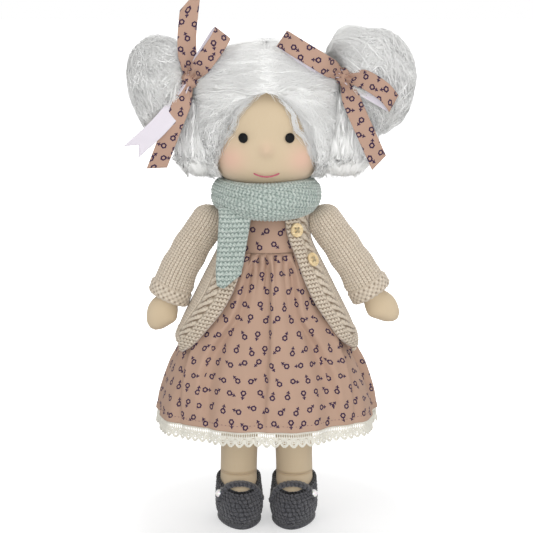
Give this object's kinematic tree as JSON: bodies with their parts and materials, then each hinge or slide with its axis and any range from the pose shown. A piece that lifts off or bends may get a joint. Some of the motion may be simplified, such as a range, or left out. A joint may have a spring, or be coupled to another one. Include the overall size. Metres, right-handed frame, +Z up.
{
  "type": "cloth doll",
  "caption": "Soft cloth doll with white bunched hair and ribbon bows, in a printed dress with lace hem, knitted cardigan, scarf and crochet shoes.",
  "frame": {"origin": "on the ground, under the middle of the doll's outline", "axes": "+Z up, -Y the way the doll faces, +X to the right as seen from the front"},
  "size_m": [0.2204, 0.1352, 0.4057],
  "materials": {
    "skin_cotton": "matt jersey",
    "wool_stuffing": "loose wool",
    "thread": "matt",
    "eye_black": "satin",
    "mouth_thread": "matt",
    "hair_yarn": "brushed, fluffy",
    "wig_cap": "matt crochet",
    "hair_elastic": "matt",
    "print_cotton": "matt plain weave",
    "ribbon_cotton": "soft satin",
    "cotton_lace": "matt",
    "cardigan_knit": "matt knit",
    "scarf_knit": "matt knit",
    "button_wood": "satin",
    "shoe_crochet": "matt crochet",
    "pearl": "pearl"
  },
  "bodies": {
    "torso": {"torso_skin": "skin_cotton", "torso_stuffing": "wool_stuffing", "hip_thread": "thread", "shoulder_thread": "thread", "dress_bodice": "print_cotton", "dress_skirt": "print_cotton", "lace_trim": "cotton_lace", "cardigan_back": "cardigan_knit", "cardigan_front_left": "cardigan_knit", "cardigan_front_right": "cardigan_knit", "button_upper": "button_wood", "button_thread_upper": "thread", "button_lower": "button_wood", "button_thread_lower": "thread", "scarf": "scarf_knit"},
    "head": {"head_skin": "skin_cotton", "head_core": "wool_stuffing", "neck_tie": "thread", "eye_left": "eye_black", "eye_right": "eye_black", "mouth_stitch": "mouth_thread", "wig_cap": "wig_cap", "hair_crown": "hair_yarn", "hair_back": "hair_yarn", "hair_side_left": "hair_yarn", "hair_side_right": "hair_yarn", "bun_left": "hair_yarn", "bun_right": "hair_yarn", "hair_tie_left": "hair_elastic", "hair_tie_right": "hair_elastic", "bow_left": "ribbon_cotton", "bow_right": "ribbon_cotton"},
    "arm_left": {"arm_skin_left": "skin_cotton", "arm_stuffing_left": "wool_stuffing", "sleeve_left": "cardigan_knit", "cuff_left": "cardigan_knit"},
    "arm_right": {"arm_skin_right": "skin_cotton", "arm_stuffing_right": "wool_stuffing", "sleeve_right": "cardigan_knit", "cuff_right": "cardigan_knit"},
    "leg_left": {"leg_skin_left": "skin_cotton", "leg_stuffing_left": "wool_stuffing", "foot_left": "skin_cotton", "shoe_sole_left": "shoe_crochet", "shoe_upper_left": "shoe_crochet", "shoe_strap_left": "shoe_crochet", "shoe_pearl_left": "pearl"},
    "leg_right": {"leg_skin_right": "skin_cotton", "leg_stuffing_right": "wool_stuffing", "foot_right": "skin_cotton", "shoe_sole_right": "shoe_crochet", "shoe_upper_right": "shoe_crochet", "shoe_strap_right": "shoe_crochet", "shoe_pearl_right": "pearl"}
  },
  "joints": [
    {"name": "head_turn", "type": "hinge", "parent": "torso", "child": "head", "pos_m": [-0.004, -0.00076, 0.258], "axis": [0, 0, 1], "range_deg": [-30, 30], "stiffness_Nm_per_rad": 0.03},
    {"name": "shoulder_left", "type": "hinge", "parent": "torso", "child": "arm_left", "pos_m": [-0.0482, -0.00076, 0.238], "axis": [-1, 0, 0], "range_deg": [-45, 100]},
    {"name": "shoulder_right", "type": "hinge", "parent": "torso", "child": "arm_right", "pos_m": [0.0402, -0.00076, 0.238], "axis": [-1, 0, 0], "range_deg": [-45, 100]},
    {"name": "hip_left", "type": "hinge", "parent": "torso", "child": "leg_left", "pos_m": [-0.0235, -0.00076, 0.14], "axis": [-1, 0, 0], "range_deg": [-30, 30]},
    {"name": "hip_right", "type": "hinge", "parent": "torso", "child": "leg_right", "pos_m": [0.0155, -0.00076, 0.14], "axis": [-1, 0, 0], "range_deg": [-30, 30]}
  ]
}
